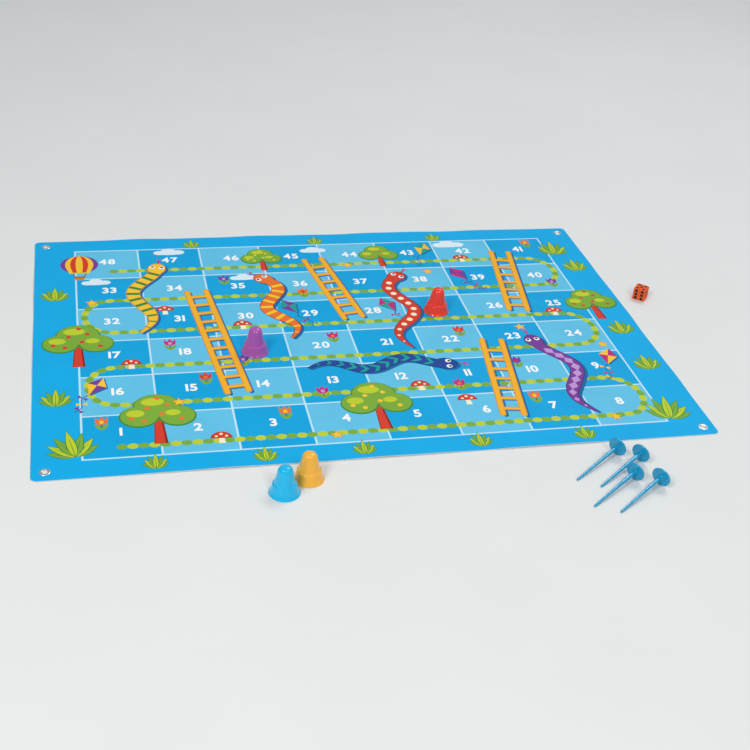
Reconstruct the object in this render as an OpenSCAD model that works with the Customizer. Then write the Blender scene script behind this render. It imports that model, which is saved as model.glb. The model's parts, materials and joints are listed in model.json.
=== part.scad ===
// Giant snakes and ladders set, laid out for a game on the ground: a printed mat with a pinning
// eyelet in each corner, four hollow counters, a foam die and the four pegs that hold the mat down.
// Millimetres. The origin is the middle of the mat's underside. +X runs along the rows of squares,
// -Y points to the near edge, where square 1 is at the left, and +Z is up.

/* [Mat] */
// Length of the mat, along the rows
mat_length = 1380; // [1200:10:1800]
// Depth of the mat, across the rows
mat_depth = 950; // [800:10:1300]
// Thickness of the printed sheet
mat_thickness = 1.6; // [1.2:0.1:3]
// Radius of the mat's corners
mat_corner_radius = 12; // [2:1:24]
// Plain border left and right of the squares
side_border = 94; // [60:1:120]
// Plain border in front of and behind the squares
end_border = 55; // [48:1:80]
// Squares in a row
columns = 8; // [6:1:10]
// Rows of squares
rows = 6; // [5:1:8]

/* [Eyelets] */
// Distance of an eyelet's axis from both edges of its corner
eyelet_inset = 26; // [20:1:40]
// Diameter of an eyelet's flange, and of the washer under the mat
eyelet_diameter = 21; // [19:0.5:26]
// Wall of the pressed barrel
eyelet_wall = 0.6; // [0.4:0.1:1]
// Rise of the rolled flange above the mat
eyelet_rise = 1; // [0.6:0.1:1.6]
// Width of the barrel's flared end, clinched into the washer
eyelet_flare = 1; // [0.6:0.1:1.6]
// Thickness of the washer, let into the underside of the mat
washer_thickness = 0.5; // [0.3:0.1:0.8]
// Clearance of what is let into a hole or a recess
seat_clearance = 0.1; // [0.05:0.05:0.2]

/* [Counters] */
// Diameter of a counter's foot
counter_diameter = 60; // [54:1:80]
// Height of a counter
counter_height = 60; // [52:1:80]
// Wall of the moulded shell
counter_wall = 1.6; // [1:0.1:2.5]
// Height of the upright rim around the foot
foot_height = 1.4; // [1.2:0.1:3]
// Width of the flat ring that the foot stands on
foot_ring = 2.8; // [2:0.1:4]
// Height where the flared skirt leaves the band
skirt_height = 10.5; // [8:0.1:14]
// Diameter of the band where the skirt leaves it
band_diameter = 51.2; // [48:0.1:53]
// Height of the shoulder's edge
shoulder_height = 20.6; // [17:0.1:26]
// Diameter of the shoulder's edge
shoulder_diameter = 46.6; // [44:0.1:48]
// Climb of the sloping shoulder, from its edge to the body
shoulder_climb = 2.2; // [1:0.1:4]
// Diameter of the body where it leaves the shoulder
body_diameter = 40.6; // [37:0.1:42]
// Diameter that the body's taper would reach at the very top
crown_diameter = 24.6; // [22:0.1:30]
// Radius of the domed crown
crown_radius = 11; // [8:0.1:12]

/* [Die] */
// Edge length of the foam die
die_size = 30; // [28:1:60]
// Radius of the die's edges
die_edge_radius = 1.2; // [0.6:0.1:2]
// Diameter of a pip
pip_diameter = 7.4; // [5:0.1:8]
// Thickness of a pip, let into the face
pip_thickness = 0.6; // [0.4:0.1:1]
// Distance from a face's upper and lower edges to the pips
pip_row_margin = 2.2; // [2:0.1:3]
// Distance from a face's side edges to the pips
pip_column_margin = 4; // [2:0.1:6]

/* [Pegs] */
// Diameter of a peg's pressing head
peg_head_diameter = 40; // [30:1:50]
// Thickness of the head
peg_head_thickness = 4; // [3:0.5:6]
// Radius of the head's rim
peg_rim_radius = 1.8; // [1:0.1:1.8]
// Length of the shaft, from the head to the tip
peg_shaft_length = 130; // [100:5:180]
// Diameter of the shaft under the head
peg_shaft_diameter = 9; // [7:0.1:11]
// Diameter of the shaft's round tip
peg_tip_diameter = 4.4; // [3:0.1:5]
// Fillet between the shaft and the head
peg_fillet = 1; // [0.5:0.1:3]
// Clearance around the shaft in an eyelet's bore
peg_clearance = 0.7; // [0.4:0.1:1.5]

/* [Layout] */
// Square that the purple counter stands on
purple_square = 19; // [1:1:30]
// Square that the red counter stands on
red_square = 27; // [1:1:30]
// Ground between the mat's near edge and the first counter that waits there
waiting_gap = 16; // [8:1:60]
// Place of that counter along the near edge, from the middle
waiting_place = -184; // [-400:1:200]
// Ground between the two waiting counters
waiting_space = 3.2; // [1:0.1:20]
// Direction from the first waiting counter to the second, in degrees
waiting_direction = 215; // [180:1:260]
// Ground between the mat's right edge and the die
die_gap = 40; // [10:1:120]
// Place of the die along the right edge, from the middle
die_place = 92; // [-300:1:300]
// Turn of the die on the ground, in degrees
die_turn = -41; // [-45:1:45]
// Ground between the mat's near edge and the nearest peg head
pegs_gap = 25; // [10:1:80]
// Place of the first peg's tip along the near edge, from the middle
pegs_place = 330; // [100:1:420]
// Ground between neighbouring pegs
pegs_space = 3; // [1:0.5:10]
// Direction from a lying peg's tip to its head, in degrees
pegs_direction = 33; // [20:1:45]

/* [Hidden] */
$fn = 96;
// Largest turn of one chord in an arc of a turned outline, in degrees
chord_turn = 5;
// Chords across an eyelet's rolled flange
flange_chords = 12;
// How far a cut runs past the face that it opens
overshoot = 1;

square_width = (mat_length - 2 * side_border) / columns;
square_depth = (mat_depth - 2 * end_border) / rows;
near_edge = -mat_depth / 2;

bore_radius = peg_shaft_diameter / 2 + peg_clearance;
barrel_radius = bore_radius + eyelet_wall;
flange_radius = eyelet_diameter / 2;

// Rounding of a counter's edges: the rim of the foot, the outer edges and the inner corners
rim_rounding = 0.6;
edge_rounding = 1.3;
inner_rounding = 0.8;

// Pips on each face of the die, with the turn that brings the top face there.
// Opposite faces add up to seven.
die_faces = [
    [5, [0, 0, 0]],
    [2, [180, 0, 0]],
    [6, [90, 0, 0]],
    [1, [-90, 0, 0]],
    [3, [90, 0, 90]],
    [4, [90, 0, -90]],
];
pip_column = die_size / 2 - pip_column_margin - pip_diameter / 2;
pip_row = die_size / 2 - pip_row_margin - pip_diameter / 2;
die_half_width = die_size / 2 * (cos(die_turn) + abs(sin(die_turn)));

// A lying peg rests on its round tip and on the rounded rim of its head, so its axis slopes up to
// the head. Out: distance of the middle of each rounding from the axis. Along: distance between them.
peg_length = peg_shaft_length + peg_head_thickness;
peg_tip_radius = peg_tip_diameter / 2;
peg_head_radius = peg_head_diameter / 2;
peg_taper = atan((peg_shaft_diameter / 2 - peg_tip_radius) / peg_shaft_length);
tip_out = peg_tip_radius * (1 + tan(peg_taper) - 1 / cos(peg_taper));
rim_out = peg_head_radius - peg_rim_radius;
rim_along = peg_shaft_length + peg_rim_radius - peg_tip_radius;
peg_slope = atan2(rim_out - tip_out, rim_along)
    + asin((peg_rim_radius - peg_tip_radius) / norm([rim_along, rim_out - tip_out]));
peg_tip_height = peg_tip_radius * (1 - sin(peg_slope)) + tip_out * cos(peg_slope);

// The pegs lie side by side, the outer two pairs head by head and the middle two head by shaft.
// Across: distance from the first peg. Along: how far each is pushed on towards its head.
pegs_head_pitch = peg_head_diameter + pegs_space;
pegs_shaft_pitch = (peg_head_diameter + peg_shaft_diameter) / 2 + pegs_space;
pegs_across = [
    0,
    pegs_head_pitch,
    pegs_head_pitch + pegs_shaft_pitch,
    2 * pegs_head_pitch + pegs_shaft_pitch,
];
pegs_along = [0, 19, -41, -16];
// How far the row reaches towards the mat from the first peg's tip
pegs_reach = max([
    for (i = [0:3])
        (peg_length * cos(peg_slope) + pegs_along[i]) * sin(pegs_direction)
            + (peg_head_radius - pegs_across[i]) * cos(pegs_direction)
]);

corner_names = ["front_left", "front_right", "back_left", "back_right"];
corner_signs = [[-1, -1], [1, -1], [-1, 1], [1, 1]];
counter_names = ["blue_counter", "yellow_counter", "purple_counter", "red_counter"];
counter_colours = [[0, 0.66, 0.88], [1, 0.68, 0.2], [0.5, 0.24, 0.6], [0.9, 0.2, 0.15]];
peg_names = ["peg_1", "peg_2", "peg_3", "peg_4"];

function unit(v) = v / norm(v);

function turned(v, angle) =
    [v.x * cos(angle) - v.y * sin(angle), v.x * sin(angle) + v.y * cos(angle)];

// The arc that rounds the corner b between its neighbours a and c
function corner_arc(a, b, c, radius) =
    let (
        to_a = unit(a - b),
        to_c = unit(c - b),
        half = acos(to_a * to_c) / 2,
        centre = b + unit(to_a + to_c) * radius / sin(half),
        start = b + to_a * radius / tan(half) - centre,
        sense = sign(cross(to_c, to_a)),
        turn = 180 - 2 * half,
        chords = ceil(turn / chord_turn)
    )
    [for (i = [0:chords]) centre + turned(start, sense * turn * i / chords)];

// The arc that leaves the end b of a straight wall from a, without a corner, and runs on to c
function flare_arc(a, b, c) =
    let (
        way = c - b,
        ahead = unit(b - a),
        bend = atan2(cross(ahead, way), ahead * way),
        chords = max(1, ceil(abs(2 * bend) / chord_turn))
    )
    [
        for (i = [0:chords])
            let (share = i / chords, reach = bend == 0 ? share : sin(share * bend) / sin(bend))
            b + norm(way) * reach * turned(ahead, share * bend)
    ];

// A closed outline with its corners rounded: each entry is [x, y, radius], with 0 for a sharp corner
function rounded_outline(corners) =
    let (last = len(corners) - 1, points = [for (c = corners) [c[0], c[1]]])
    [
        for (i = [0:last])
            let (
                before = points[i == 0 ? last : i - 1],
                after = points[i == last ? 0 : i + 1],
                radius = corners[i][2]
            )
            each radius == 0 ? [points[i]] : corner_arc(before, points[i], after, radius)
    ];

// Middle of a numbered square: odd rows run left to right and even rows run back
function square_middle(number) =
    let (
        row = floor((number - 1) / columns),
        step = (number - 1) % columns,
        column = row % 2 == 0 ? step : columns - 1 - step
    )
    [
        (column - (columns - 1) / 2) * square_width,
        (row - (rows - 1) / 2) * square_depth,
        mat_thickness
    ];

yellow_place = [waiting_place, near_edge - waiting_gap - counter_diameter / 2, 0];
blue_place = yellow_place + (counter_diameter + waiting_space)
    * [cos(waiting_direction), sin(waiting_direction), 0];
counter_places = [
    blue_place,
    yellow_place,
    square_middle(purple_square),
    square_middle(red_square),
];

die_middle = [mat_length / 2 + die_gap + die_half_width, die_place, die_size / 2];

function corner_place(i) = [
    corner_signs[i].x * (mat_length / 2 - eyelet_inset),
    corner_signs[i].y * (mat_depth / 2 - eyelet_inset),
    0
];

module rounded_rectangle(length, depth, radius) {
    square([length - 2 * radius, depth], center = true);
    square([length, depth - 2 * radius], center = true);
    for (x = [-1, 1], y = [-1, 1])
        translate([x * (length / 2 - radius), y * (depth / 2 - radius)])
            circle(radius);
}

// The sheet, with a hole for each eyelet and a recess under it for the washer
module mat() {
    color([0.16, 0.66, 0.9])
    difference() {
        linear_extrude(mat_thickness)
            rounded_rectangle(mat_length, mat_depth, mat_corner_radius);
        for (i = [0:3])
            translate(corner_place(i)) {
                translate([0, 0, -overshoot])
                    cylinder(r = barrel_radius + seat_clearance, h = mat_thickness + 2 * overshoot);
                translate([0, 0, -overshoot])
                    cylinder(r = flange_radius + seat_clearance, h = washer_thickness + overshoot);
            }
    }
}

// A pressed eyelet: a rolled flange on the mat, and a barrel whose flared end holds the washer
module eyelet() {
    middle = (flange_radius + bore_radius) / 2;
    half_width = (flange_radius - bore_radius) / 2;
    rolled_flange = [
        for (i = [0:flange_chords])
            let (angle = 180 * i / flange_chords)
            [middle + half_width * cos(angle), mat_thickness + eyelet_rise * sin(angle)]
    ];
    color([0.78, 0.78, 0.8])
    rotate_extrude()
        polygon(concat(
            [
                [bore_radius, 0],
                [barrel_radius + eyelet_flare, 0],
                [barrel_radius, washer_thickness],
                [barrel_radius, mat_thickness],
            ],
            rolled_flange
        ));
}

module washer() {
    color([0.7, 0.7, 0.72])
    rotate_extrude()
        polygon([
            [barrel_radius + eyelet_flare + seat_clearance, 0],
            [flange_radius, 0],
            [flange_radius, washer_thickness],
            [barrel_radius + seat_clearance, washer_thickness],
        ]);
}

// A moulded bell: flared foot, band, sloping shoulder, tapered body and domed crown, open below
module counter(colour) {
    foot_radius = counter_diameter / 2;
    shoulder_top = shoulder_height + shoulder_climb;
    hollow_height = counter_height - counter_wall;
    shoulder = [shoulder_diameter / 2, shoulder_height];
    band = [band_diameter / 2, skirt_height];
    inner_shoulder = shoulder - [counter_wall, counter_wall / 2];
    inner_band = band - [counter_wall, 0];
    skirt = flare_arc(shoulder, band, [foot_radius, foot_height]);
    inner_skirt = flare_arc(inner_shoulder, inner_band, [foot_radius - foot_ring, 0]);
    foot = [
        [foot_radius, 0, rim_rounding],
        [foot_radius, foot_height, rim_rounding],
    ];
    outside = [
        [shoulder.x, shoulder.y, edge_rounding],
        [body_diameter / 2, shoulder_top, edge_rounding],
        [crown_diameter / 2, counter_height, crown_radius],
        [0, counter_height, 0],
    ];
    inside = [
        [0, hollow_height, 0],
        [crown_diameter / 2 - counter_wall, hollow_height, crown_radius - counter_wall],
        [body_diameter / 2 - counter_wall, shoulder_top - counter_wall / 2, inner_rounding],
        [inner_shoulder.x, inner_shoulder.y, inner_rounding],
    ];
    color(colour)
    rotate_extrude()
        polygon(rounded_outline(concat(
            foot,
            [for (i = [len(skirt) - 2:-1:0]) [skirt[i].x, skirt[i].y, 0]],
            outside,
            inside,
            [for (point = inner_skirt) [point.x, point.y, 0]]
        )));
}

// Places of a face's pips, in steps of the pip column and the pip row
function pip_pattern(count) = concat(
    count % 2 == 1 ? [[0, 0]] : [],
    count > 1 ? [[-1, 1], [1, -1]] : [],
    count > 3 ? [[-1, -1], [1, 1]] : [],
    count == 6 ? [[-1, 0], [1, 0]] : []
);

// Discs of the pips' size on all six faces, from a pip's depth up to a height above the face
module pip_discs(radius, height) {
    for (face = die_faces)
        rotate(face[1])
            for (place = pip_pattern(face[0]))
                translate([place.x * pip_column, place.y * pip_row, die_size / 2 - pip_thickness])
                    cylinder(r = radius, h = pip_thickness + height);
}

module die_body() {
    color([0.93, 0.36, 0.18])
    translate(die_middle)
    rotate([0, 0, die_turn])
    difference() {
        intersection_for (turn = [[0, 0, 0], [90, 0, 0], [0, 90, 0]])
            rotate(turn)
                linear_extrude(die_size, center = true)
                    rounded_rectangle(die_size, die_size, die_edge_radius);
        pip_discs(pip_diameter / 2 + seat_clearance, overshoot);
    }
}

module die_pips() {
    color([0.08, 0.08, 0.08])
    translate(die_middle)
    rotate([0, 0, die_turn])
        pip_discs(pip_diameter / 2, 0);
}

// A ground peg standing on its tip: a tapered shaft under a flat round head
module peg() {
    outline = [
        [0, 0, 0],
        [peg_tip_radius, 0, peg_tip_radius],
        [peg_shaft_diameter / 2, peg_shaft_length, peg_fillet],
        [peg_head_radius, peg_shaft_length, peg_rim_radius],
        [peg_head_radius, peg_length, peg_rim_radius],
        [0, peg_length, 0],
    ];
    color([0.07, 0.5, 0.74])
    rotate_extrude()
        polygon(rounded_outline(outline));
}

module lying_peg(i) {
    translate([pegs_place, near_edge - pegs_gap - pegs_reach, peg_tip_height])
    rotate([0, 0, pegs_direction])
    translate([pegs_along[i], -pegs_across[i], 0])
    rotate([0, 90 - peg_slope, 0])
        peg();
}

mat();
for (i = [0:3]) {
    translate(corner_place(i)) eyelet();
    translate(corner_place(i)) washer();
    translate(counter_places[i]) counter(counter_colours[i]);
    lying_peg(i);
}
die_body();
die_pips();
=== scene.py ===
# Looks of a giant snakes and ladders set: a printed mat, four counters, a foam die and four pegs.
# The print is laid out in millimetres from the middle of the mat, and in squares counted from the
# near left corner of the board. Everything else is in metres.
import json
import math

import bmesh
import bpy
import numpy as np
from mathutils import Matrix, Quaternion, Vector
from mathutils.geometry import delaunay_2d_cdt

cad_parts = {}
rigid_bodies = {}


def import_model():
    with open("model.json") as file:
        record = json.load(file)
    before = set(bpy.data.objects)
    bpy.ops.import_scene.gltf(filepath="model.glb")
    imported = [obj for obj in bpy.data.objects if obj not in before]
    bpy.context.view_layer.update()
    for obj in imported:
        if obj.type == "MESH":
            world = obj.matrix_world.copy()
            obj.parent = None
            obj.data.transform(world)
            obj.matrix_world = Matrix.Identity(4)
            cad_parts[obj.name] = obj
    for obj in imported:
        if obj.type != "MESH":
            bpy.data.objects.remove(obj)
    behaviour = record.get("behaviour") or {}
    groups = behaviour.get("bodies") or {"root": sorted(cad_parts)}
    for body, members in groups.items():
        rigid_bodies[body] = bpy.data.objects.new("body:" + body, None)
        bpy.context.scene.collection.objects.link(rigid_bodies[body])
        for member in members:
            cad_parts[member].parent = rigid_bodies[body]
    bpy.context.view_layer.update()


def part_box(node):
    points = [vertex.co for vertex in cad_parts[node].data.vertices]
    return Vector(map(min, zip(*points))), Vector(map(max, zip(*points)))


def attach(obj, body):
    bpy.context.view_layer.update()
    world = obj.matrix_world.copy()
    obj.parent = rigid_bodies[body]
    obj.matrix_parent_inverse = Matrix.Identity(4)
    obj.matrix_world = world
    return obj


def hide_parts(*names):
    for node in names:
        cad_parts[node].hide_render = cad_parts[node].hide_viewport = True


for leftover in list(bpy.data.objects):
    bpy.data.objects.remove(leftover)
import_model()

MM = 0.001

# Board
COLUMNS = 8
ROWS = 6
SIDE_BORDER = 94.0
END_BORDER = 55.0
GRID_LINE = 4.0
CORNER_RADIUS = 12.0
CORNER_STEPS = 6
CORNERS = ("front_left", "front_right", "back_left", "back_right")

mat_low, mat_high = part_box("mat")
MAT_LENGTH = (mat_high.x - mat_low.x) / MM
MAT_DEPTH = (mat_high.y - mat_low.y) / MM
MAT_THICKNESS = (mat_high.z - mat_low.z) / MM
SQUARE_WIDTH = (MAT_LENGTH - 2 * SIDE_BORDER) / COLUMNS
SQUARE_DEPTH = (MAT_DEPTH - 2 * END_BORDER) / ROWS

# Holes for the eyelets, with a recess under the mat for each washer
EYELET_HOLE_RADIUS = 5.9
WASHER_CLEARANCE = 0.1
HOLE_SIDES = 32

# The free edges of the sheet lift a little between its flat corners, in waves with a finer ripple
EDGE_STEP = 20.0
EDGE_RINGS = 4
EDGE_LIFT = 2.6
EDGE_WAVE = 330.0
EDGE_RIPPLE = EDGE_WAVE / 2.3
MEAN_SHARE = 0.5
WAVE_SHARE = 0.35
RIPPLE_SHARE = 0.15
NEAR_PHASE = 1.6
FAR_PHASE = 4.1
LEFT_PHASE = 2.9
RIGHT_PHASE = 0.7
CORNER_FLAT = 90.0
CORNER_FREE = 260.0

# Printing inks
INKS = {
    "border": "08AFEB",
    "sky": "64C6EB",
    "azure": "03A8E2",
    "line": "C6EAF8",
    "white": "FFFFFF",
    "cloud": "E4F4FC",
    "shade": "1668A6",
    "leaf": "7FAF3A",
    "lime": "C3D32F",
    "pine": "3F8A3C",
    "ladder": "F9B72C",
    "amber": "D98416",
    "orange": "F0762A",
    "red": "DA3F2B",
    "maroon": "8E2418",
    "purple": "7C3F9A",
    "plum": "4A2163",
    "lilac": "C79ADB",
    "magenta": "C9267F",
    "teal": "12A39B",
    "navy": "23489C",
    "ink_blue": "122A66",
    "yellow": "FDCB34",
    "cream": "FFF2CF",
    "black": "1C1C1C",
}
BACKING = "DDE3E6"


def linear(code):
    """The linear colour of a six digit colour code."""
    parts = [int(code[i:i + 2], 16) / 255 for i in (0, 2, 4)]
    return tuple(p / 12.92 if p <= 0.04045 else ((p + 0.055) / 1.055) ** 2.4 for p in parts) + (1.0,)


# Flat shapes, as closed lists of points in millimetres

def at(column, row):
    """The point of the mat at a place counted in squares."""
    return ((column - COLUMNS / 2) * SQUARE_WIDTH, (row - ROWS / 2) * SQUARE_DEPTH)


def polar(middle, radius, angle):
    return (middle[0] + radius * math.cos(angle), middle[1] + radius * math.sin(angle))


def shifted(points, offset):
    return [(x + offset[0], y + offset[1]) for x, y in points]


def signed_area(points):
    return sum(a[0] * b[1] - b[0] * a[1] for a, b in zip(points, points[1:] + points[:1])) / 2


def ellipse(middle, width, height, turn=0.0, sides=20):
    shape = []
    for i in range(sides):
        angle = 2 * math.pi * i / sides
        along = width / 2 * math.cos(angle)
        across = height / 2 * math.sin(angle)
        shape.append((
            middle[0] + along * math.cos(turn) - across * math.sin(turn),
            middle[1] + along * math.sin(turn) + across * math.cos(turn),
        ))
    return shape


def ribbon(line, widths):
    """The outline of a band that follows a line of points."""
    left = []
    right = []
    last = len(line) - 1
    for i, (point, width) in enumerate(zip(line, widths)):
        ahead = Vector(line[min(i + 1, last)]) - Vector(line[max(i - 1, 0)])
        side = Vector((-ahead.y, ahead.x)).normalized() * width / 2
        left.append((point[0] + side.x, point[1] + side.y))
        right.append((point[0] - side.x, point[1] - side.y))
    return right + left[::-1]


def bar(start, end, width, end_width=None):
    return ribbon([start, end], [width, width if end_width is None else end_width])


def rounded_bar(start, end, width, sides=5):
    heading = math.atan2(end[1] - start[1], end[0] - start[0])
    shape = []
    for middle, first in ((end, heading - math.pi / 2), (start, heading + math.pi / 2)):
        shape += [polar(middle, width / 2, first + math.pi * i / sides) for i in range(sides + 1)]
    return shape


LEAF_BELLY = 0.8
LEAF_TIP = 0.4


def leaf_shape(base, heading, length, width, steps=6):
    """A pointed leaf that grows from its base and is widest below its middle."""
    line = [polar(base, length * i / steps, heading) for i in range(steps + 1)]
    widths = [width * math.sin(math.pi * (i / steps) ** LEAF_BELLY) + LEAF_TIP for i in range(steps + 1)]
    return ribbon(line, widths)


def star_shape(middle, radius, points=5, waist=0.45, turn=math.pi / 2):
    shape = []
    for i in range(2 * points):
        reach = radius if i % 2 == 0 else radius * waist
        shape.append(polar(middle, reach, turn + math.pi * i / points))
    return shape


def curve_through(stops, steps=9):
    """A smooth line of points through the stops."""
    stops = [Vector(stop) for stop in stops]
    padded = [2 * stops[0] - stops[1], *stops, 2 * stops[-1] - stops[-2]]
    line = []
    for a, b, c, d in zip(padded, padded[1:], padded[2:], padded[3:]):
        for i in range(steps):
            t = i / steps
            line.append(
                b + (c - a) * t / 2
                + (a - 2.5 * b + 2 * c - d / 2) * t ** 2
                + (1.5 * b - a / 2 - 1.5 * c + d / 2) * t ** 3
            )
    line.append(stops[-1])
    return [(point.x, point.y) for point in line]


def places_along(line, first, pitch, clear):
    """Points and headings along a line, a pitch apart, from one distance to another before its end."""
    lengths = [math.dist(a, b) for a, b in zip(line, line[1:])]
    total = sum(lengths)
    places = []
    walked = 0.0
    wanted = first
    for (a, b), length in zip(zip(line, line[1:]), lengths):
        while wanted <= walked + length and wanted <= total - clear:
            t = (wanted - walked) / length
            heading = math.atan2(b[1] - a[1], b[0] - a[0])
            places.append(((a[0] + (b[0] - a[0]) * t, a[1] + (b[1] - a[1]) * t), heading))
            wanted += pitch
        walked += length
    return places


# The print: shapes in the order in which they are laid over each other

SMALLEST_AREA = 0.01
SAME_POINT = 0.001
SHORTEST_EDGE = 0.002
IN_PLACE = (0.0, 0.0)

print_shapes = []


def ink(name, points):
    """Lays a shape over those before it, unless it is too thin to print."""
    if abs(signed_area(points)) > SMALLEST_AREA:
        print_shapes.append((name, points))


def dot(name, middle, size, sides=12):
    ink(name, ellipse(middle, size, size, sides=sides))


def print_squares():
    low = at(0, 0)
    high = at(COLUMNS, ROWS)
    reach = GRID_LINE / 2
    ink("line", [
        (low[0] - reach, low[1] - reach),
        (high[0] + reach, low[1] - reach),
        (high[0] + reach, high[1] + reach),
        (low[0] - reach, high[1] + reach),
    ])
    for column in range(COLUMNS):
        for row in range(ROWS):
            left, near = at(column, row)
            right, far = at(column + 1, row + 1)
            left, near = left + reach, near + reach
            right, far = right - reach, far - reach
            colour = "sky" if (column + row) % 2 else "azure"
            ink(colour, [(left, near), (right, near), (right, far), (left, far)])


# Height in a row and reach of the turns past the last number, both in squares
TRAIL_HEIGHT = 0.24
TURN_REACH = 0.4
TURN_STEPS = 8
TRAIL_PITCH = 20.5
STONE_LENGTH = 22.0
STONE_WIDTH = 17.0


def print_trail():
    """Stepping stones that lead along the rows in the order of the numbers."""
    line = []
    half = 0.5
    for row in range(ROWS):
        ends = (half, COLUMNS - half)
        start, end = ends if row % 2 == 0 else ends[::-1]
        line += [at(start, row + TRAIL_HEIGHT), at(end, row + TRAIL_HEIGHT)]
        if row < ROWS - 1:
            outward = math.copysign(1.0, end - start)
            for i in range(1, TURN_STEPS):
                angle = -math.pi / 2 + math.pi * i / TURN_STEPS
                line.append(at(
                    end + outward * TURN_REACH * math.cos(angle),
                    row + TRAIL_HEIGHT + half + half * math.sin(angle),
                ))
    for i, (place, heading) in enumerate(places_along(line, 0.0, TRAIL_PITCH, 0.0)):
        ink("lime" if i % 2 else "leaf", ellipse(place, STONE_LENGTH, STONE_WIDTH, heading, sides=12))


SHADOW = (5.0, -6.0)
INK_EDGE = 3.6

LADDER_WIDTH = 56.0
RAIL_WIDTH = 11.0
RUNG_WIDTH = 8.5
RUNG_PITCH = 38.0
FIRST_RUNG = RUNG_PITCH * 0.55
CLEAR_OF_TOP = RUNG_PITCH * 0.3


def print_ladder(foot, top):
    foot = at(*foot)
    top = at(*top)
    heading = math.atan2(top[1] - foot[1], top[0] - foot[0])
    half = (LADDER_WIDTH - RAIL_WIDTH) / 2
    left = polar((0, 0), half, heading + math.pi / 2)
    rungs = places_along([foot, top], FIRST_RUNG, RUNG_PITCH, CLEAR_OF_TOP)
    layers = (("shade", SHADOW, 0), ("amber", IN_PLACE, INK_EDGE), ("ladder", IN_PLACE, 0))
    for colour, offset, extra in layers:
        for place, _ in rungs:
            ends = shifted([place], left)[0], shifted([place], (-left[0], -left[1]))[0]
            ink(colour, shifted(bar(*ends, RUNG_WIDTH + extra), offset))
        for side in (1, -1):
            step = (left[0] * side + offset[0], left[1] * side + offset[1])
            ink(colour, rounded_bar(*shifted([foot, top], step), RAIL_WIDTH + extra))


SNAKE_WIDTH = 29.0
SNAKE_STEPS = 48
TAIL_TIP = 0.12
TAIL_TAPER = 2.6
MARK_PITCH = 27.0
CLEAR_OF_HEAD = SNAKE_WIDTH * 0.9
HEAD_LENGTH = SNAKE_WIDTH * 1.75
HEAD_WIDTH = SNAKE_WIDTH * 1.4
EYE_SIZE = SNAKE_WIDTH * 0.46
EYE_ASIDE = HEAD_WIDTH * 0.27
EYE_AHEAD = SNAKE_WIDTH * 0.22
PUPIL_SIZE = SNAKE_WIDTH * 0.24
PUPIL_AHEAD = SNAKE_WIDTH * 0.06
NOSTRIL_SIZE = 2.6
NOSTRIL_ASIDE = HEAD_WIDTH * 0.12
NOSTRIL_AHEAD = HEAD_LENGTH * 0.38
TONGUE_LENGTH = HEAD_LENGTH * 0.78
TONGUE_WIDTH = SNAKE_WIDTH * 0.16
FORK_LENGTH = SNAKE_WIDTH * 0.42
FORK_ANGLE = 0.6
FORK_WIDTHS = (4.6, 1.6)
# Marks on a snake's back, as shares of its width
BAND_LENGTH = 0.34
DOT_SIZE = 0.5
DIAMOND_REACHES = (0.52, 0.36, 0.52, 0.36)
CHEVRON_REACH = 0.46
CHEVRON = ((0.2, 0), (-0.25, 1), (-0.6, 1), (-0.15, 0), (-0.6, -1), (-0.25, -1))


def wiggle(tail, head, sway, waves):
    """A line that winds from side to side on its way from the tail to the head."""
    start = Vector(at(*tail))
    way = Vector(at(*head)) - start
    side = Vector((-way.y, way.x)).normalized()
    line = []
    for i in range(SNAKE_STEPS + 1):
        t = i / SNAKE_STEPS
        point = start + way * t + side * sway * math.sin(2 * math.pi * waves * t)
        line.append((point.x, point.y))
    return line


def mark_bands(colour, place, heading, width):
    left = polar(place, width / 2, heading + math.pi / 2)
    right = polar(place, width / 2, heading - math.pi / 2)
    ink(colour, bar(left, right, width * BAND_LENGTH))


def mark_dots(colour, place, heading, width):
    dot(colour, place, width * DOT_SIZE, sides=14)


def mark_diamonds(colour, place, heading, width):
    corners = []
    for i, reach in enumerate(DIAMOND_REACHES):
        corners.append(polar(place, width * reach, heading + math.pi / 2 * i))
    ink(colour, corners)


def mark_chevrons(colour, place, heading, width):
    ahead = polar((0, 0), width, heading)
    left = polar((0, 0), width * CHEVRON_REACH, heading + math.pi / 2)
    ink(colour, [(place[0] + ahead[0] * a + left[0] * b, place[1] + ahead[1] * a + left[1] * b)
                 for a, b in CHEVRON])


def print_tongue(head, heading):
    fork = polar(head, TONGUE_LENGTH, heading)
    ink("magenta", bar(head, fork, TONGUE_WIDTH))
    for side in (FORK_ANGLE, -FORK_ANGLE):
        ink("magenta", bar(fork, polar(fork, FORK_LENGTH, heading + side), *FORK_WIDTHS))


def print_face(head, heading, edge):
    """Two eyes that look ahead, and two nostrils."""
    for side in (1, -1):
        across = heading + side * math.pi / 2
        eye = polar(polar(head, EYE_ASIDE, across), EYE_AHEAD, heading)
        dot("white", eye, EYE_SIZE, sides=16)
        dot("black", polar(eye, PUPIL_AHEAD, heading), PUPIL_SIZE)
        nostril = polar(polar(head, NOSTRIL_ASIDE, across), NOSTRIL_AHEAD, heading)
        dot(edge, nostril, NOSTRIL_SIZE, sides=8)


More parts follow.
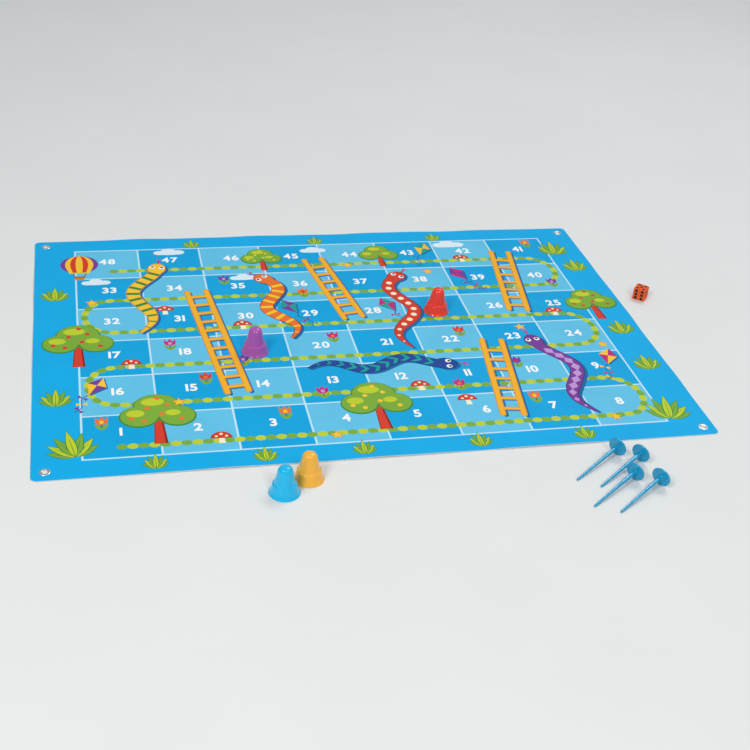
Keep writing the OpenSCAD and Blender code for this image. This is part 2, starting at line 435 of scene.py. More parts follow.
def print_snake(route, skin, edge, mark, pattern):
    """A snake from its tail to its head, with a fork in its tongue."""
    line = wiggle(*route)
    last = len(line) - 1
    widths = [SNAKE_WIDTH * min(1.0, TAIL_TIP + TAIL_TAPER * i / last) for i in range(last + 1)]
    head = line[-1]
    heading = math.atan2(line[-1][1] - line[-3][1], line[-1][0] - line[-3][0])

    def body(colour, offset, extra):
        ink(colour, shifted(ribbon(line, [width + extra for width in widths]), offset))
        skull = ellipse(head, HEAD_LENGTH + extra, HEAD_WIDTH + extra, heading, sides=24)
        ink(colour, shifted(skull, offset))

    body("shade", SHADOW, INK_EDGE)
    print_tongue(head, heading)
    body(edge, IN_PLACE, INK_EDGE)
    body(skin, IN_PLACE, 0)
    for place, direction in places_along(line, SNAKE_WIDTH, MARK_PITCH, CLEAR_OF_HEAD):
        nearest = min(range(last + 1), key=lambda i: math.dist(line[i], place))
        pattern(mark, place, direction, widths[nearest])
    print_face(head, heading, edge)


# A tree's lobes and the lights on them, each with its middle, width and height, and the places of its fruit
TREE_CROWN = ((-37, 10, 74, 68), (38, 8, 70, 66), (0, 44, 90, 80))
TREE_LIGHTS = ((-44, 20, 36, 24), (30, 18, 30, 20), (-8, 58, 46, 27))
TREE_FRUIT = ((-28, -6), (8, 15), (46, -4), (20, 46), (-20, 37), (-52, 4), (2, 70))
CROWN_EDGE = 6
CROWN_EDGE_DROP = 2
FRUIT_SIZE = 11
# Layers of the trunk: colour, shift at the foot and at the top, height, width at the foot and at the top
TRUNK_LAYERS = (("maroon", 0.0, 0.0, 84, 27, 17), ("red", 1.5, 1.0, 83, 20, 12))


def print_tree(place, fruit, size):
    """A round tree: a red trunk, a crown of three lobes, and fruit."""
    x, y = at(*place)
    for colour, foot_shift, top_shift, height, foot_width, top_width in TRUNK_LAYERS:
        foot = (x - foot_shift, y - height * size)
        ink(colour, bar(foot, (x - top_shift, y), foot_width * size, top_width * size))
    layers = (
        ("pine", TREE_CROWN, CROWN_EDGE, CROWN_EDGE_DROP),
        ("leaf", TREE_CROWN, 0, 0),
        ("lime", TREE_LIGHTS, 0, 0),
    )
    for colour, lobes, extra, drop in layers:
        for dx, dy, width, height in lobes:
            middle = (x + dx * size, y + dy * size - drop)
            ink(colour, ellipse(middle, width * size + extra, height * size + extra, sides=26))
    for dx, dy in TREE_FRUIT:
        dot(fruit, (x + dx * size, y + dy * size), FRUIT_SIZE * size)


# A toadstool's stalk from its foot to its top with both widths, its caps with their height and radius,
# and its spots with their place and size
STALK = (-17, 4, 13, 9)
CAPS = (("maroon", -0.6, 21.5), ("red", 0.8, 19.5))
CAP_SIDES = 14
CAP_SPOTS = ((-10, 6, 6), (0, 13, 7), (10, 6, 6))


def print_toadstool(place):
    x, y = at(*place)
    foot, top, foot_width, top_width = STALK
    ink("cream", bar((x, y + foot), (x, y + top), foot_width, top_width))
    for colour, height, radius in CAPS:
        middle = (x, y + height)
        ink(colour, [polar(middle, radius, math.pi * i / CAP_SIDES) for i in range(CAP_SIDES + 1)])
    for dx, dy, size in CAP_SPOTS:
        dot("cream", (x + dx, y + dy), size, sides=10)


STEM_LENGTH = 26
STEM_WIDTH = 3.6
STEM_LEAF_WIDTH = 8
STEM_LEAF_ANGLE = 0.55
CUP_RADIUS = 12.5
CUP_HEIGHT = 4
CUP_SIDES = 10
PETAL_TIPS = ((CUP_RADIUS, 18), (6, 8), (0, 20), (-6, 8), (-CUP_RADIUS, 18))
HEART_WIDTH = 9
HEART_HEIGHT = 12
HEART_RISE = 1


def print_tulip(place, petal, heart):
    x, y = at(*place)
    ground = (x, y - STEM_LENGTH)
    ink("pine", bar(ground, (x, y), STEM_WIDTH))
    for side in (1, -1):
        heading = math.pi / 2 - side * STEM_LEAF_ANGLE
        ink("leaf", leaf_shape(ground, heading, STEM_LENGTH, STEM_LEAF_WIDTH))
    bottom = (x, y + CUP_HEIGHT)
    cup = [polar(bottom, CUP_RADIUS, math.pi + math.pi * i / CUP_SIDES) for i in range(CUP_SIDES + 1)]
    ink(petal, cup + shifted(PETAL_TIPS, (x, y)))
    ink(heart, ellipse((x, y + HEART_RISE), HEART_WIDTH, HEART_HEIGHT, sides=12))


KITE_REACHES = (30, 21, 38, 21)
KITE_SHADOW = (3, -3.5)
KITE_TAIL_STEP = 16.0
KITE_TAIL_SWAYS = (0.0, 7.0, 0.0, -7.0, 0.0)
KITE_TAIL_WIDTH = 2.4
BOW_PITCH = 22.0
BOW_SPAN = 11
BOW_HALF_WIDTH = 5


def print_kite(place, turn, colours):
    """A kite of four coloured quarters, with bows along its tail."""
    x, y = at(*place)
    points = [polar((x, y), reach, turn + math.pi / 2 * i) for i, reach in enumerate(KITE_REACHES)]
    stops = []
    for i, sway in enumerate(KITE_TAIL_SWAYS):
        behind = polar(points[2], KITE_TAIL_STEP * i, turn + math.pi)
        stops.append(polar(behind, sway, turn + math.pi / 2))
    tail = curve_through(stops, steps=5)
    ink("shade", ribbon(tail, [KITE_TAIL_WIDTH] * len(tail)))
    for i, (bow, heading) in enumerate(places_along(tail, KITE_TAIL_STEP, BOW_PITCH, 0.0)):
        for side in (1, -1):
            wing = polar(bow, BOW_SPAN, heading + side * math.pi / 2)
            ends = [polar(wing, reach, heading) for reach in (BOW_HALF_WIDTH, -BOW_HALF_WIDTH)]
            ink(colours[i % 2], [bow, *ends])
    ink("shade", shifted(points, KITE_SHADOW))
    for i in range(4):
        ink(colours[i % 2], [(x, y), points[i], points[(i + 1) % 4]])


BALLOON_SIZE = 88
BALLOON_SIDES = 32
BALLOON_MOUTH = -44
BALLOON_WAIST = -18
BALLOON_NECK = ((-37, -20), (-14, BALLOON_MOUTH), (14, BALLOON_MOUTH), (37, -20))
STRIPES = (("yellow", 66), ("red", 42), ("yellow", 17))
STRIPE_AT_MOUTH = 0.34
STRIPE_AT_WAIST = 0.46
ROPE = ((9, -62), (20, -34))
ROPE_WIDTH = 2.2
# Bands across the balloon: colour, lower and upper edge, width at the lower and at the upper edge
BASKET = ("amber", -76, -60, 20, 24)
BASKET_RIM = ("maroon", -63, -59, 26, 26)
COLLAR = ("lime", BALLOON_MOUTH, -39, 30, 34)


def print_balloon(place):
    """A striped hot air balloon with its basket."""
    x, y = at(*place)

    def band(colour, low, high, low_width, high_width):
        ink(colour, bar((x, y + low), (x, y + high), low_width, high_width))

    for side in (1, -1):
        ends = [(x + side * dx, y + dy) for dx, dy in ROPE]
        ink("maroon", bar(*ends, ROPE_WIDTH))
    band(*BASKET)
    band(*BASKET_RIM)
    ink("purple", shifted(BALLOON_NECK, (x, y)))
    dot("purple", (x, y), BALLOON_SIZE, BALLOON_SIDES)
    for colour, width in STRIPES:
        mouth = width * STRIPE_AT_MOUTH
        waist = width * STRIPE_AT_WAIST
        gore = (
            (-mouth, BALLOON_MOUTH), (mouth, BALLOON_MOUTH),
            (waist, BALLOON_WAIST), (-waist, BALLOON_WAIST),
        )
        ink(colour, shifted(gore, (x, y)))
        ink(colour, ellipse((x, y), width, BALLOON_SIZE, sides=BALLOON_SIDES))
    band(*COLLAR)


CLOUD_PUFFS = ((-24, 0, 34, 24), (0, 7, 42, 34), (25, 1, 36, 25), (0, -5, 66, 16))


def print_cloud(place, size):
    x, y = at(*place)
    for dx, dy, width, height in CLOUD_PUFFS:
        ink("cloud", ellipse((x + dx * size, y + dy * size), width * size, height * size))


CLUMP_ORDER = (0, 6, 1, 5, 2, 4, 3)
OUTER_SHORTER = 0.35
BLADE_WIDTH = 0.2
BLADE_EDGE_WIDTH = 0.25
BLADE_EDGE = 3
VEIN_REACH = 0.72
VEIN_WIDTHS = (1.8, 0.8)


def print_clump(place, lean, spread, size):
    """A clump of leaves that fans out on both sides of its middle leaf, which leans from upright."""
    base = at(*place)
    last = len(CLUMP_ORDER) - 1
    middle = last // 2
    for i in CLUMP_ORDER:
        heading = math.pi / 2 + lean + (i / last - 0.5) * spread
        length = size * (1.0 - OUTER_SHORTER * abs(i - middle) / middle)
        ink("pine", leaf_shape(base, heading, length + BLADE_EDGE, size * BLADE_EDGE_WIDTH))
        ink("lime" if i % 2 else "leaf", leaf_shape(base, heading, length, size * BLADE_WIDTH))
        ink("pine", bar(base, polar(base, length * VEIN_REACH, heading), *VEIN_WIDTHS))


DIGIT_HEIGHT = 25.0
DIGIT_SHARE_OF_FONT = 0.73
DIGIT_WEIGHT = 1.1
DIGIT_GAP = 3.2
# Height in a row, in squares
NUMBER_HEIGHT = 0.6


def digit_triangles(digit):
    """The filled digit as triangles, with its left edge at 0, and its width."""
    curve = bpy.data.curves.new("digit", "FONT")
    curve.body = digit
    curve.size = DIGIT_HEIGHT / DIGIT_SHARE_OF_FONT
    curve.offset = DIGIT_WEIGHT
    curve.resolution_u = 3
    holder = bpy.data.objects.new("digit", curve)
    bpy.context.scene.collection.objects.link(holder)
    drawn = holder.evaluated_get(bpy.context.evaluated_depsgraph_get())
    mesh = drawn.to_mesh()
    mesh.calc_loop_triangles()
    triangles = [[mesh.vertices[i].co.xy for i in triangle.vertices] for triangle in mesh.loop_triangles]
    drawn.to_mesh_clear()
    bpy.data.objects.remove(holder)
    bpy.data.curves.remove(curve)
    left = min(point.x for triangle in triangles for point in triangle)
    right = max(point.x for triangle in triangles for point in triangle)
    return [[(point.x - left, point.y) for point in triangle] for triangle in triangles], right - left


def print_numbers():
    digits = {str(i): digit_triangles(str(i)) for i in range(10)}
    for number in range(1, COLUMNS * ROWS + 1):
        row, step = divmod(number - 1, COLUMNS)
        column = step if row % 2 == 0 else COLUMNS - 1 - step
        middle = at(column + 0.5, row + NUMBER_HEIGHT)
        text = str(number)
        total = sum(digits[digit][1] for digit in text) + DIGIT_GAP * (len(text) - 1)
        pen = middle[0] - total / 2
        for digit in text:
            triangles, width = digits[digit]
            for triangle in triangles:
                ink("white", shifted(triangle, (pen, middle[1] - DIGIT_HEIGHT / 2)))
            pen += width + DIGIT_GAP


# What stands where, in squares: trees with their fruit and size, tulips with the colours of their petals
# and heart, clouds with their size, and kites with their turn and colours
TREES = {
    (0.0, 2.9): ("red", 1.0), (4.0, 0.86): ("yellow", 1.0), (5.0, 5.5): ("orange", 0.66),
    (8.14, 3.5): ("red", 0.85), (1.0, 0.86): ("orange", 1.0), (3.0, 5.5): ("yellow", 0.66),
}
TOADSTOOLS = (
    (1.78, 0.3), (4.72, 1.3), (7.42, 3.3), (2.42, 3.3),
    (0.72, 2.3), (6.4, 5.3), (5.3, 0.86), (1.3, 3.86),
)
TULIPS = {
    (2.3, 2.28): ("purple", "lilac"), (3.72, 2.84): ("magenta", "orange"),
    (6.3, 0.86): ("orange", "yellow"), (1.3, 2.84): ("magenta", "lilac"),
    (6.32, 1.84): ("purple", "magenta"), (3.5, 4.3): ("orange", "red"),
    (7.72, 4.32): ("purple", "lilac"), (5.7, 2.84): ("red", "orange"),
    (0.26, 0.84): ("orange", "yellow"), (3.3, 1.3): ("magenta", "lilac"),
    (2.7, 0.84): ("orange", "yellow"), (5.3, 1.3): ("magenta", "orange"),
    (1.72, 1.84): ("red", "orange"), (2.3, 4.84): ("purple", "lilac"),
    (7.72, 5.84): ("orange", "yellow"),
}
STARS = (
    (1.3, 1.24), (6.7, 2.86), (7.84, 2.2), (4.4, 5.2),
    (3.3, 0.2), (0.22, 4.2), (7.3, 0.2), (5.7, 4.86),
)
STAR_LAYERS = (("amber", 15.5), ("yellow", 12.5))
CLOUDS = {(1.5, 5.86): 0.9, (3.9, 5.78): 0.8, (6.3, 5.84): 1.0, (2.62, 4.86): 0.8, (0.3, 4.86): 0.8}
KITES = {
    (0.23, 1.78): (1.1, ("purple", "yellow")), (4.76, 3.8): (1.9, ("magenta", "teal")),
    (5.82, 5.74): (1.2, ("teal", "yellow")), (6.18, 4.78): (2.0, ("purple", "magenta")),
    (7.8, 1.86): (1.2, ("yellow", "magenta")), (3.2, 3.86): (2.0, ("teal", "purple")),
}
BALLOON_PLACE = (0.06, 5.52)
# Ladders from foot to top. Snakes from tail to head with their sway and number of waves, and then with the
# colours of skin, edge and marks
LADDERS = (
    ((5.85, 0.42), (6.13, 2.5)),
    ((2.13, 1.42), (1.83, 4.45)),
    ((6.85, 3.42), (7.15, 5.5)),
    ((4.15, 3.4), (3.85, 5.45)),
)
SNAKES = (
    (((4.86, 2.4), (5.12, 4.72), 25, 1.5), "red", "maroon", "cream", mark_dots),
    (((0.9, 3.2), (1.1, 5.3), -25, 1.25), "yellow", "amber", "pine", mark_bands),
    (((7.08, 0.36), (6.96, 2.42), 26, 1.25), "purple", "plum", "lilac", mark_diamonds),
    (((3.2, 1.94), (5.24, 2.0), 17, 1.75), "navy", "ink_blue", "teal", mark_chevrons),
    (((3.1, 2.84), (2.94, 4.8), -24, 1.5), "orange", "maroon", "yellow", mark_bands),
)
# Clumps of leaves in the border, the largest in the corners: place, lean, spread and size
CLUMPS = (
    *(((column, -0.3), 0.0, 1.9, 46) for column in (0.9, 2.3, 3.6, 5.2, 6.7)),
    *(((column, 6.03), 0.0, 1.9, 40) for column in (1.9, 4.0, 6.1)),
    *(((-0.32, row), 0.0, 2.0, 60) for row in (1.3, 4.3)),
    *(((8.32, row), 0.0, 2.0, 60) for row in (1.4, 2.5, 4.7)),
    ((-0.08, 0.08), 0.2, 2.2, 84),
    ((8.08, 0.06), -0.2, 2.2, 84),
    ((8.12, 5.35), -0.1, 2.2, 72),
)


def print_board():
    print_squares()
    print_trail()
    for clump in CLUMPS:
        print_clump(*clump)
    for place, size in CLOUDS.items():
        print_cloud(place, size)
    for place, tree in TREES.items():
        print_tree(place, *tree)
    for place in TOADSTOOLS:
        print_toadstool(place)
    for place, petals in TULIPS.items():
        print_tulip(place, *petals)
    for place, kite in KITES.items():
        print_kite(place, *kite)
    print_balloon(BALLOON_PLACE)
    for place in STARS:
        for colour, radius in STAR_LAYERS:
            ink(colour, star_shape(at(*place), radius))
    for ladder in LADDERS:
        print_ladder(*ladder)
    for snake in SNAKES:
        print_snake(*snake)
    print_numbers()


# The sheet

def smooth_step(low, high, value):
    t = min(1.0, max(0.0, (value - low) / (high - low)))
    return t * t * (3 - 2 * t)


def lift(x, y):
    """Height of the free edge above the ground: soft waves in the border that die out at the corners."""
    from_side = MAT_LENGTH / 2 - abs(x)
    from_end = MAT_DEPTH / 2 - abs(y)
    free = smooth_step(CORNER_FLAT, CORNER_FREE, math.hypot(from_side, from_end))
    total = 0.0
    for inward, along, border, phase in (
        (from_side, y, SIDE_BORDER, RIGHT_PHASE if x > 0 else LEFT_PHASE),
        (from_end, x, END_BORDER, FAR_PHASE if y > 0 else NEAR_PHASE),
    ):
        rise = max(0.0, 1 - inward / border) ** 2
        wave = MEAN_SHARE + WAVE_SHARE * math.sin(2 * math.pi * along / EDGE_WAVE + phase)
        ripple = RIPPLE_SHARE * math.sin(2 * math.pi * along / EDGE_RIPPLE + 2 * phase)
        total += rise * (wave + ripple)
    return EDGE_LIFT * free * total


def between(start, end):
    """Points at an even step between two others."""
    count = round(math.dist(start, end) / EDGE_STEP)
    return [(start[0] + (end[0] - start[0]) * i / count, start[1] + (end[1] - start[1]) * i / count)
            for i in range(1, count)]


def sheet_outline():
    """The sheet's rectangle with its rounded corners, from the near right corner onwards."""
    right = MAT_LENGTH / 2
    far = MAT_DEPTH / 2
    corners = (
        (right, -far, -math.pi / 2),
        (right, far, 0.0),
        (-right, far, math.pi / 2),
        (-right, -far, math.pi),
    )
    points = []
    for x, y, first in corners:
        middle = (x - math.copysign(CORNER_RADIUS, x), y - math.copysign(CORNER_RADIUS, y))
        turns = [first + math.pi / 2 * i / CORNER_STEPS for i in range(CORNER_STEPS + 1)]
        arc = [polar(middle, CORNER_RADIUS, turn) for turn in turns]
        if points:
            points += between(points[-1], arc[0])
        points += arc
    return points + between(points[-1], points[0])


def edge_points():
    """Loose points in the border, so that the waves of the edge have something to bend."""
    points = []
    for ring in range(1, EDGE_RINGS + 1):
        x = MAT_LENGTH / 2 - SIDE_BORDER * ring / EDGE_RINGS
        y = MAT_DEPTH / 2 - END_BORDER * ring / EDGE_RINGS
        loop = [(-x, -y), (x, -y), (x, y), (-x, y)]
        for a, b in zip(loop, loop[1:] + loop[:1]):
            points += between(a, b)
    return points


def covered(shape, points):
    """Which of the points lie inside a closed shape, by its winding number."""
    x, y = points.T[:, :, None]
    start = np.array(shape)
    end = np.roll(start, -1, axis=0)
    across = (end[:, 0] - start[:, 0]) * (y - start[:, 1]) - (x - start[:, 0]) * (end[:, 1] - start[:, 1])
    rising = (start[:, 1] <= y) & (end[:, 1] > y) & (across > 0)
    falling = (start[:, 1] > y) & (end[:, 1] <= y) & (across < 0)
    return rising.sum(axis=1) != falling.sum(axis=1)


def partition(shapes, loose):
    """Cuts the plane into triangles along all shapes. Each triangle gets the number of the topmost
    shape over it, or -1, and each point of a shape the number of the vertex that it became."""
    points = []
    edges = []
    rings = []
    for shape in shapes:
        numbers = list(range(len(points), len(points) + len(shape)))
        points += shape
        edges += zip(numbers, numbers[1:] + numbers[:1])
        rings.append(numbers)
    flat = [Vector(point) for point in points + loose]
    verts, _, triangles, sources, _, _ = delaunay_2d_cdt(flat, edges, [], 0, SAME_POINT)
    became = {}
    for vertex, numbers in enumerate(sources):
        for number in numbers:
            became[number] = vertex
    middles = np.array(verts)[np.array(triangles)].mean(axis=1)
    tops = np.full(len(triangles), -1)
    for number, shape in enumerate(shapes):
        low = np.min(shape, axis=0)
        high = np.max(shape, axis=0)
        near = np.nonzero(((middles > low) & (middles < high)).all(axis=1))[0]
        tops[near[covered(shape, middles[near])]] = number
    return verts, triangles, tops, [[became[i] for i in ring] for ring in rings]


def eyelet_rings():
    """Outlines of the eyelets' holes and of the washers' recesses under them, and the recess depth."""
    washer_low, washer_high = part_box(CORNERS[0] + "_washer")
    recess_size = 2 * ((washer_high.x - washer_low.x) / 2 / MM + WASHER_CLEARANCE)
    hole_size = 2 * EYELET_HOLE_RADIUS
    holes = []
    recesses = []
    for corner in CORNERS:
        low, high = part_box(corner + "_eyelet")
        middle = ((low.x + high.x) / 2 / MM, (low.y + high.y) / 2 / MM)
        holes.append(ellipse(middle, hole_size, hole_size, sides=HOLE_SIDES))
        recesses.append(ellipse(middle, recess_size, recess_size, sides=HOLE_SIDES))
    return holes, recesses, (washer_high.z - washer_low.z) / MM


def add_side(bm, shapes, height, slot_of):
    """One side of the sheet, with a material for each topmost shape. Returns each outline's vertices."""
    verts, triangles, tops, rings = partition(shapes, edge_points())
    made = [bm.verts.new((v.x * MM, v.y * MM, (height + lift(v.x, v.y)) * MM)) for v in verts]
    for triangle, top in zip(triangles, tops):
        slot = slot_of(top)
        if slot is not None:
            face = bm.faces.new([made[i] for i in triangle])
            face.material_index = slot
            face.smooth = True
    return [[made[i] for i in ring] for ring in rings]


def add_wall(bm, upper, lower, slot):
    """A wall with sharp edges between two rings of vertices."""
    for i in range(len(upper)):
        follow = (i + 1) % len(upper)
        face = bm.faces.new((upper[i], lower[i], lower[follow], upper[follow]))
        face.material_index = slot
        for edge in face.edges:
            edge.smooth = False


def build_sheet():
    """The printed sheet as one closed mesh, with an ink on each part of its upper side."""
    ink_names = list(INKS)
    backing = len(ink_names)
    outline = sheet_outline()
    holes, recesses, recess_depth = eyelet_rings()
    colours = ["border"] + [name for name, _ in print_shapes]
    printed = [outline] + [points for _, points in print_shapes]

    def ink_slot(top):
        return ink_names.index(colours[top]) if 0 <= top < len(colours) else None

    def backing_slot(top):
        return backing if top == 0 else None

    bm = bmesh.new()
    upper = add_side(bm, printed + holes, MAT_THICKNESS, ink_slot)
    lower = add_side(bm, [outline] + recesses, 0.0, backing_slot)
    add_wall(bm, upper[0], lower[0], backing)
    for hole, recess in zip(upper[-len(holes):], lower[1:]):
        inner = [bm.verts.new((v.co.x, v.co.y, recess_depth * MM)) for v in hole]
        outer = [bm.verts.new((v.co.x, v.co.y, recess_depth * MM)) for v in recess]
        add_wall(bm, hole, inner, backing)
        add_wall(bm, inner, outer, backing)
        add_wall(bm, outer, recess, backing)
    unused = [vertex for vertex in bm.verts if not vertex.link_faces]
    bmesh.ops.delete(bm, geom=unused, context="VERTS")
    bmesh.ops.dissolve_degenerate(bm, edges=bm.edges, dist=SHORTEST_EDGE * MM)
    bmesh.ops.recalc_face_normals(bm, faces=bm.faces)
    mesh = bpy.data.meshes.new("printed_mat")
    bm.to_mesh(mesh)
    bm.free()
    for name in ink_names:
        mesh.materials.append(printed_ink(name, INKS[name]))
    mesh.materials.append(sheet_backing())
    sheet = bpy.data.objects.new("printed_mat", mesh)
    bpy.context.scene.collection.objects.link(sheet)
    return sheet


# Materials

# Most of a noise lies between these values
NOISE_LOW = 0.3
NOISE_HIGH = 0.7


class Surface:
    """A procedural material: nodes are added by kind, with their inputs by name."""

    def __init__(self, name, **sockets):
        self.material = bpy.data.materials.new(name)
        self.material.use_nodes = True
        self.tree = self.material.node_tree
        self.shader = self.tree.nodes["Principled BSDF"]
        for socket, value in sockets.items():
            self.shader.inputs[socket.replace("_", " ")].default_value = value
        self.place = self.add("TexCoord", {}).outputs["Object"]

    def add(self, kind, inputs, **settings):
        node = self.tree.nodes.new("ShaderNode" + kind)
        for name, value in settings.items():
            setattr(node, name, value)
        for socket, value in inputs.items():
            self.join(value, node.inputs[socket])
        return node

    def join(self, value, socket):
        if isinstance(value, bpy.types.NodeSocket):
            self.tree.links.new(value, socket)
        else:
            socket.default_value = value

    def noise(self, scale, detail=2.0, roughness=0.5):
        inputs = {"Vector": self.place, "Scale": scale, "Detail": detail, "Roughness": roughness}
        return self.add("TexNoise", inputs).outputs["Fac"]

    def spread(self, value, low, high):
        """A noise value spread between two others."""
        inputs = {
            "Value": value,
            "From Min": NOISE_LOW,
            "From Max": NOISE_HIGH,
            "To Min": low,
            "To Max": high,
        }
        return self.add("MapRange", inputs).outputs["Result"]

    def tinted(self, colour, value):
        """The base colour, lighter and darker with a value around 1."""
        inputs = {"Color": colour, "Value": value}
        self.join(self.add("HueSaturation", inputs).outputs["Color"], self.shader.inputs["Base Color"])

    def rough(self, value):
        self.join(value, self.shader.inputs["Roughness"])

    def bump(self, *layers):
        """Bump layers, each a height, a strength and a depth in metres, from the widest to the finest."""
        normal = None
        for height, strength, depth in layers:
            inputs = {"Height": height, "Strength": strength, "Distance": depth}
            if normal is not None:
                inputs["Normal"] = normal
            normal = self.add("Bump", inputs).outputs["Normal"]
        self.join(normal, self.shader.inputs["Normal"])


WEAVE_PITCH = 0.0013
# The distance at which the wave texture repeats at a scale of 1
WAVE_PERIOD = 2 * math.pi / 20


def weave(surface):
    """Height of a plain weave, from two crossing sets of threads."""
    threads = []
    for direction in ("X", "Y"):
        inputs = {"Vector": surface.place, "Scale": WAVE_PERIOD / WEAVE_PITCH}
        wave = surface.add("TexWave", inputs, wave_type="BANDS", bands_direction=direction)
        threads.append(wave.outputs["Fac"])
    return surface.add("Math", {0: threads[0], 1: threads[1]}, operation="MULTIPLY").outputs[0]


def printed_ink(name, code):
    """Satin ink on coated cloth: soft undulations, the weave, and a little unevenness in the ink."""
    surface = Surface("ink_" + name, Specular_IOR_Level=0.14)
    clouds = surface.noise(scale=9.0, detail=3.0)
    grain = surface.noise(scale=420.0, detail=1.0)
    surface.tinted(linear(code), surface.spread(clouds, 0.965, 1.03))
    surface.rough(surface.spread(grain, 0.42, 0.58))
    undulations = surface.noise(scale=4.5, detail=1.0)
    surface.bump((undulations, 0.5, 0.004), (weave(surface), 0.35, 0.00012))
    return surface.material


def sheet_backing():
    """The plain underside, in which the weave shows more."""
    surface = Surface("mat_backing")
    fibres = surface.noise(scale=260.0, detail=2.0)
    surface.tinted(linear(BACKING), surface.spread(fibres, 0.94, 1.04))
    surface.rough(surface.spread(surface.noise(scale=500.0), 0.7, 0.9))
    surface.bump((weave(surface), 0.8, 0.00025))
    return surface.material


def moulded_plastic(name, code, roughness, gloss):
    """Injection moulded plastic: an even colour, a faint orange peel and soft handling marks."""
    surface = Surface(
        name, Specular_IOR_Level=0.25, Coat_Weight=gloss, Coat_Roughness=0.04,
        Subsurface_Weight=0.08, Subsurface_Scale=0.004,
    )
    flow = surface.noise(scale=38.0, detail=3.0)
    surface.tinted(linear(code), surface.spread(flow, 0.97, 1.03))
    handling = surface.noise(scale=55.0, detail=4.0, roughness=0.6)
    surface.rough(surface.spread(handling, roughness - 0.05, roughness + 0.06))
    orange_peel = surface.noise(scale=160.0, detail=1.0)
    grain = surface.noise(scale=1500.0, detail=1.0)
    surface.bump((orange_peel, 0.12, 0.0004), (grain, 0.1, 0.00006))
    return surface.material


def foam(name, code):
    """Closed cell foam: matt, with fine open pores in the cut faces."""
    surface = Surface(name, Specular_IOR_Level=0.22)
    cells = surface.add("TexVoronoi", {"Vector": surface.place, "Scale": 1300.0}).outputs["Distance"]
    pores = surface.add("MapRange", {"Value": cells, "From Min": 0.05, "From Max": 0.3}).outputs["Result"]
    speckle = surface.noise(scale=700.0, detail=3.0, roughness=0.65)
    surface.tinted(linear(code), surface.spread(speckle, 0.93, 1.05))
    surface.rough(surface.spread(surface.noise(scale=300.0), 0.72, 0.9))
    dents = surface.noise(scale=150.0, detail=2.0)
    surface.bump((dents, 0.25, 0.0005), (pores, 0.45, 0.00018))
    return surface.material


def stamped_ink(name, code):
    """Thick satin ink, a little uneven."""
    surface = Surface(name, Specular_IOR_Level=0.4)
    patches = surface.noise(scale=260.0, detail=2.0)
    surface.tinted(linear(code), surface.spread(patches, 0.85, 1.2))
    grain = surface.noise(scale=420.0, detail=2.0)
    surface.rough(surface.spread(grain, 0.42, 0.58))
    ripples = surface.noise(scale=500.0, detail=2.0)
    surface.bump((ripples, 0.12, 0.0001))
    return surface.material


ALUMINIUM = (0.8, 0.8, 0.82, 1.0)


def pressed_metal(name):
    """Pressed aluminium with fine drawing marks."""
    surface = Surface(name, Metallic=1.0)
    stains = surface.noise(scale=300.0, detail=3.0)
    surface.tinted(ALUMINIUM, surface.spread(stains, 0.92, 1.04))
    wear = surface.noise(scale=900.0, detail=2.0)
    surface.rough(surface.spread(wear, 0.24, 0.4))
    drawing_marks = surface.noise(scale=1800.0, detail=2.0)
    surface.bump((drawing_marks, 0.15, 0.00006))
    return surface.material


def paint(node, material):
    slots = bpy.data.objects[node].data.materials
    slots.clear()
    slots.append(material)


COUNTER_COLOURS = {"blue": "00BDF0", "yellow": "FFB93C", "purple": "B456B2", "red": "FF3C2A"}
COUNTER_ROUGHNESS = 0.26
COUNTER_GLOSS = 0.6
PEG_COLOUR = "009FCC"
PEG_ROUGHNESS = 0.3
PEG_GLOSS = 0.8
PEGS = 4
DIE_COLOUR = "F0622F"
PIP_COLOUR = "141414"


def dress_cad_nodes():
    for colour, code in COUNTER_COLOURS.items():
        plastic = moulded_plastic(colour + "_plastic_finish", code, COUNTER_ROUGHNESS, COUNTER_GLOSS)
        paint(colour + "_counter", plastic)
    peg_plastic = moulded_plastic("peg_finish", PEG_COLOUR, PEG_ROUGHNESS, PEG_GLOSS)
    for number in range(1, PEGS + 1):
        paint(f"peg_{number}", peg_plastic)
    metal = pressed_metal("eyelet_finish")
    for corner in CORNERS:
        paint(corner + "_eyelet", metal)
        paint(corner + "_washer", metal)
    paint("die_body", foam("die_finish", DIE_COLOUR))
    paint("die_pips", stamped_ink("pip_finish", PIP_COLOUR))


# Stage, light and camera

FLOOR_SIZE = 400.0
FLOOR_DROP = 0.0002
FLOOR_COLOUR = "E9EAE8"
SKY_COLOUR = (0.88, 0.94, 1.0, 1.0)
SKY_STRENGTH = 0.38
# Azimuth and elevation in degrees, distance and size in metres, power in watts, and colour
SOFTBOXES = {
    "left_strobe": (-44, 44, 5.2, (1.3, 1.5), 92.0, (1.0, 0.98, 0.95)),
    "right_strobe": (13, 44, 5.2, (0.9, 1.8), 50.0, (1.0, 0.98, 0.96)),
    "rear_softbox": (128, 56, 5.3, (3.2, 1.1), 80.0, (1.0, 1.0, 1.0)),
}
EYE = Vector((-0.566, -2.284, 1.408))
AIM = Vector((0.0192, -0.1856, 0.0))
ROLL = math.radians(5.49)
LENS = 58.1


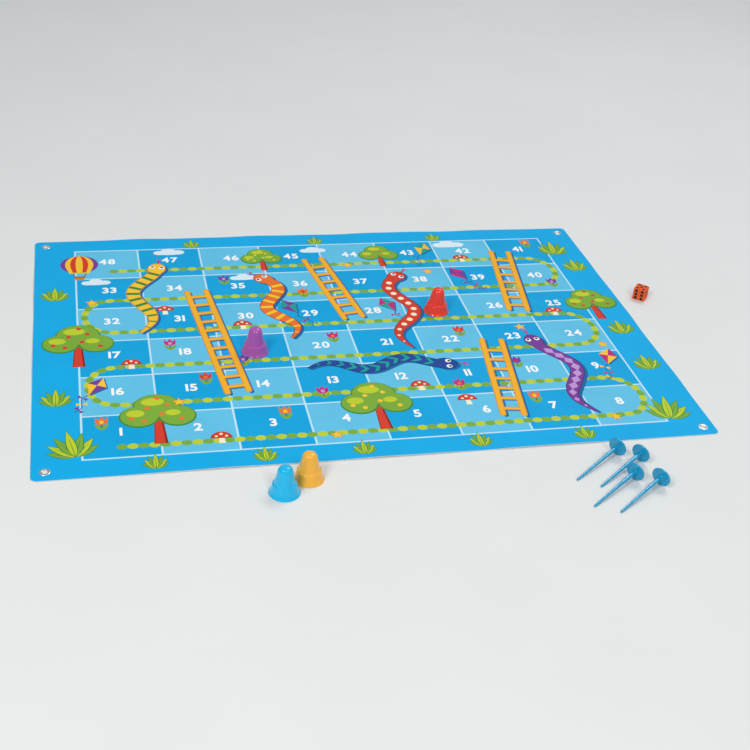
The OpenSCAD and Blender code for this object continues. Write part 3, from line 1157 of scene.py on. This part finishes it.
def set_stage():
    half = FLOOR_SIZE / 2
    corners = [(-half, -half, 0), (half, -half, 0), (half, half, 0), (-half, half, 0)]
    mesh = bpy.data.meshes.new("floor")
    mesh.from_pydata(corners, [], [(0, 1, 2, 3)])
    surface = Surface("floor_finish", Specular_IOR_Level=0.2)
    clouds = surface.noise(scale=3.0, detail=3.0)
    surface.tinted(linear(FLOOR_COLOUR), surface.spread(clouds, 0.985, 1.01))
    surface.rough(surface.spread(surface.noise(scale=60.0), 0.7, 0.8))
    mesh.materials.append(surface.material)
    floor = bpy.data.objects.new("floor", mesh)
    bpy.context.scene.collection.objects.link(floor)
    floor.location.z = -FLOOR_DROP


def add_softbox(name, azimuth, elevation, distance, size, power, colour):
    """A rectangular light around the middle of the mat, turned towards it."""
    turn = math.radians(azimuth)
    rise = math.radians(elevation)
    towards = Vector((math.sin(turn) * math.cos(rise), -math.cos(turn) * math.cos(rise), math.sin(rise)))
    light = bpy.data.lights.new(name, "AREA")
    light.shape = "RECTANGLE"
    light.size, light.size_y = size
    light.energy = power
    light.color = colour
    holder = bpy.data.objects.new(name, light)
    holder.location = towards * distance
    holder.rotation_mode = "QUATERNION"
    holder.rotation_quaternion = (-towards).to_track_quat("-Z", "Y")
    bpy.context.scene.collection.objects.link(holder)


def set_light():
    world = bpy.data.worlds.new("studio")
    world.use_nodes = True
    background = world.node_tree.nodes["Background"]
    background.inputs["Color"].default_value = SKY_COLOUR
    background.inputs["Strength"].default_value = SKY_STRENGTH
    bpy.context.scene.world = world
    for name, settings in SOFTBOXES.items():
        add_softbox(name, *settings)
    bpy.context.scene.view_settings.view_transform = "Standard"


def set_camera():
    data = bpy.data.cameras.new("camera")
    data.lens = LENS
    camera = bpy.data.objects.new("camera", data)
    camera.location = EYE
    camera.rotation_mode = "QUATERNION"
    camera.rotation_quaternion = (AIM - EYE).to_track_quat("-Z", "Y") @ Quaternion((0, 0, 1), ROLL)
    bpy.context.scene.collection.objects.link(camera)
    bpy.context.scene.camera = camera


set_camera()
set_stage()
set_light()
print_board()
printed_mat = build_sheet()
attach(printed_mat, "mat")
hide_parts("mat")
dress_cad_nodes()
